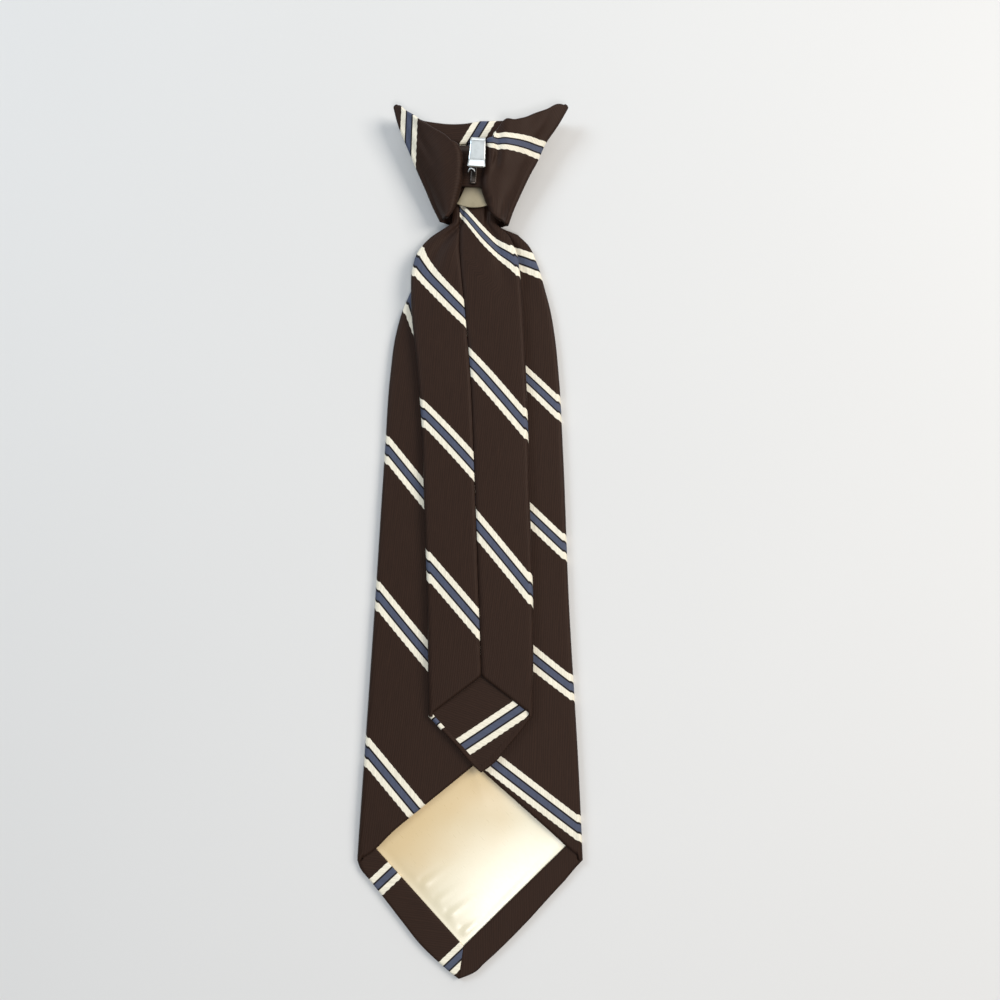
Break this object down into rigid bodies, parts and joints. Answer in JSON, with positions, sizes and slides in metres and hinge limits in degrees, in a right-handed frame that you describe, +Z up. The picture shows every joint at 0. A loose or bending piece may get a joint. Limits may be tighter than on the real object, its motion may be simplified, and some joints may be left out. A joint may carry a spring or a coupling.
{
  "type": "pre-tied clip-on necktie",
  "caption": "Pre-tied striped necktie lying face down: folded blade and tail under a hollow knot with a spring clip.",
  "frame": {"origin": "middle of the whole tie, on the surface that it lies on", "axes": "+Y along the tie from the point of the wide blade to the knot, +X to the right seen from the back, +Z up out of the back"},
  "size_m": [0.076, 0.3006, 0.0151],
  "materials": {
    "striped_silk": "ribbed satin weave, dark brown with cream and slate blue diagonal stripes",
    "cream_satin": "smooth lining satin",
    "ivory_plastic": "moulded, slightly aged",
    "nickelled_steel": "nickel plated spring strip"
  },
  "bodies": {
    "root": {"front_blade": "striped_silk", "blade_tipping": "cream_satin", "tail": "striped_silk", "tail_tipping": "striped_silk", "knot": "striped_silk", "knot_former": "ivory_plastic", "clip": "nickelled_steel"}
  },
  "joints": []
}
